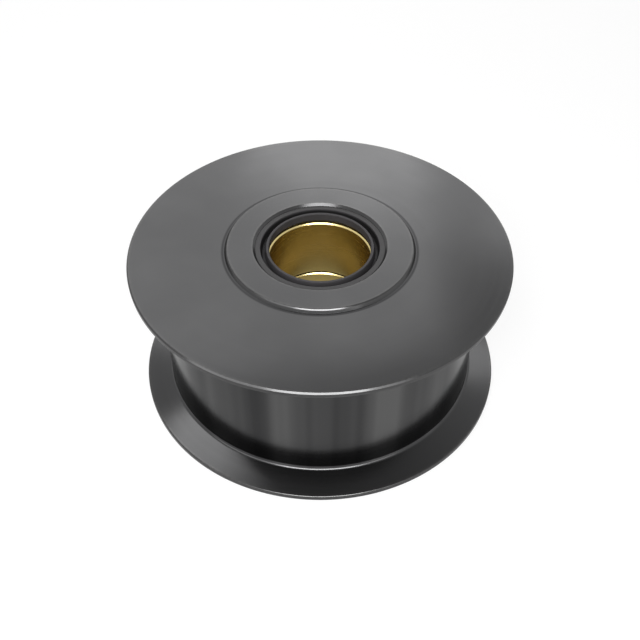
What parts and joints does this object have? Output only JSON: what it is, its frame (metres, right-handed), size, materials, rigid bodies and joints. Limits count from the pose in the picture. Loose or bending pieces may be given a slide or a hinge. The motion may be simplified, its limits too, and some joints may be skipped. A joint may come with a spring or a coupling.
{
  "type": "chain pulley",
  "caption": "Double-flanged chain pulley with a smooth tread, plain bushes and lip seals, for turning on a fixed pin.",
  "frame": {"origin": "centre of the bore, midway between the two end faces", "axes": "+Z along the bore, up when the pulley stands on its lower boss face; X and Y lie in the middle plane of the tread"},
  "size_m": [0.112, 0.112, 0.0494],
  "materials": {
    "blackened_steel": "fine turned, dark phosphated",
    "bush_bronze": "smooth, bored",
    "seal_rubber": "satin"
  },
  "bodies": {
    "root": {"pulley_body": "blackened_steel", "bush_upper": "bush_bronze", "bush_lower": "bush_bronze", "seal_upper": "seal_rubber", "seal_lower": "seal_rubber"}
  },
  "joints": []
}
